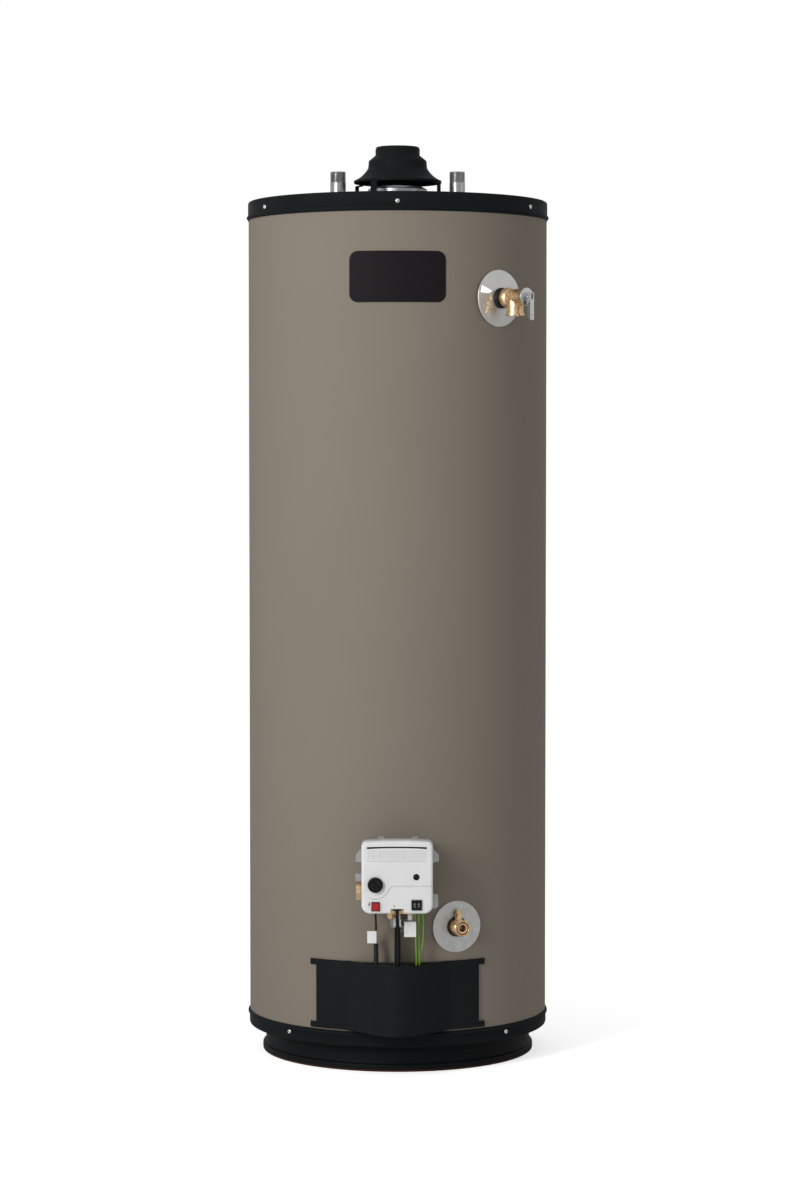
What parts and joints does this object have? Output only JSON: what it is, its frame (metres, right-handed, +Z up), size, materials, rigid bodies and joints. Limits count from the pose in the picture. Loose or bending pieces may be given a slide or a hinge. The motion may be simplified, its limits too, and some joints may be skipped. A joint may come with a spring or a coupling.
{
  "type": "tank water heater",
  "caption": "Gas-fired storage tank water heater with a round jacket, draft hood, relief valve, drain valve, front gas control and a removable burner door.",
  "frame": {"origin": "centre of the base ring's foot on the floor, on the tank's axis", "axes": "+Z up along the tank's axis, -Y towards the front with the gas control, +X to the right seen from the front"},
  "size_m": [0.5147, 0.6025, 1.543],
  "materials": {
    "taupe_paint": "satin baked paint",
    "black_moulding": "satin black",
    "black_base": "matt black moulding",
    "plated_screw": "zinc plated",
    "foam": "rigid polyurethane foam",
    "glass_wool": "pressed glass wool",
    "dark_enamel": "dark enamelled steel",
    "galvanised_sheet": "galvanised sheet",
    "bare_sheet": "bare steel sheet",
    "bare_steel": "bare steel",
    "pale_plastic": "pale plastic",
    "anode_metal": "dull cast metal",
    "black_paint": "satin black paint",
    "black_badge": "plain black foil label",
    "plate_metal": "satin plated sheet",
    "black_rubber": "soft black",
    "brass": "bare forged brass",
    "plated_steel": "bright plated steel",
    "copper": "bare copper",
    "chromed_ball": "polished plating",
    "cast_aluminium": "grey die casting",
    "white_moulding": "smooth white moulding",
    "black_gloss": "smooth black moulding",
    "red_moulding": "smooth red moulding",
    "aluminium_tube": "drawn aluminium",
    "white_tag": "blank white tag",
    "black_conduit": "black corrugated plastic",
    "green_insulation": "green insulation",
    "clear_glass": "heat-proof glass"
  },
  "bodies": {
    "heater": {"jacket": "taupe_paint", "top_pan": "black_moulding", "bottom_pan": "black_moulding", "base_ring": "black_base", "top_pan_screws": "plated_screw", "bottom_pan_screws": "plated_screw", "foam_insulation": "foam", "skirt_insulation": "glass_wool", "tank_shell": "dark_enamel", "flue_tube": "galvanised_sheet", "flue_baffle": "bare_sheet", "cold_nipple": "bare_steel", "hot_nipple": "bare_steel", "dip_tube": "pale_plastic", "anode_rod": "anode_metal", "anode_cap": "black_moulding", "draft_hood": "black_paint", "hood_legs": "black_paint", "badge": "black_badge", "tp_plate": "plate_metal", "tp_grommet": "black_rubber", "tp_body": "brass", "tp_bonnet": "plated_steel", "tp_spring": "bare_steel", "tp_probe": "copper", "drain_plate": "plate_metal", "drain_body": "brass", "gas_valve_body": "cast_aluminium", "gas_valve_cover": "white_moulding", "status_light": "black_gloss", "igniter_housing": "black_gloss", "sensor_connector": "black_gloss", "gas_inlet": "brass", "outlet_fittings": "brass", "flare_nuts": "plated_steel", "manifold_tube": "aluminium_tube", "pilot_tube": "aluminium_tube", "thermostat_probe": "bare_steel", "ignition_wire": "black_rubber", "ignition_sleeve": "black_rubber", "wire_tags": "white_tag", "thermopile_lead": "black_rubber", "lead_conduit": "black_conduit", "green_wires": "green_insulation", "access_plate": "bare_sheet", "access_gasket": "glass_wool", "access_screws": "plated_screw", "sight_glass": "clear_glass", "burner_head": "bare_sheet", "pilot_assembly": "bare_sheet", "flame_arrestor": "bare_sheet"},
    "tp_stem": {"tp_stem": "brass", "tp_lever_pin": "plated_steel"},
    "tp_lever": {"tp_lever": "plated_steel"},
    "drain_stem": {"drain_stem": "brass", "drain_ball": "chromed_ball"},
    "knob_shaft": {"knob_shaft": "bare_steel"},
    "gas_knob": {"gas_knob": "black_gloss"},
    "igniter_button": {"igniter_button": "red_moulding"},
    "outer_door": {"outer_door": "black_paint"}
  },
  "joints": [
    {"name": "tp_lift", "type": "slide", "parent": "heater", "child": "tp_stem", "axis": [0.6561, -0.7547, 0], "range_m": [0, 0.00314], "stiffness_N_per_m": 600, "springref_m": -0.001, "deforming": ["tp_spring"]},
    {"name": "tp_lever_swing", "type": "hinge", "parent": "tp_stem", "child": "tp_lever", "pos_m": [0.21453, -0.24679, 1.277], "axis": [-0.7547, -0.6561, 0], "range_deg": [0, 90]},
    {"name": "drain_turn", "type": "hinge", "parent": "heater", "child": "drain_stem", "pos_m": [0.10026, -0.24206, 0.243], "axis": [0, 0, 1], "range_deg": [0, 90]},
    {"name": "knob_push", "type": "slide", "parent": "heater", "child": "knob_shaft", "axis": [0, 1, 0], "range_m": [0, 0.004], "stiffness_N_per_m": 400, "springref_m": -0.003},
    {"name": "knob_turn", "type": "hinge", "parent": "knob_shaft", "child": "gas_knob", "pos_m": [-0.0358, -0.331, 0.3258], "axis": [0, -1, 0], "range_deg": [-45, 225]},
    {"name": "igniter_press", "type": "slide", "parent": "heater", "child": "igniter_button", "axis": [0, 1, 0], "range_m": [0, 0.004], "stiffness_N_per_m": 600, "springref_m": -0.003},
    {"name": "door_slide", "type": "slide", "parent": "heater", "child": "outer_door", "axis": [0, -1, 0], "range_m": [0, 0.06]}
  ],
  "couplings": [
    {"joint": "tp_lever_swing", "follows": "tp_lift", "rad_per_m": 500}
  ]
}
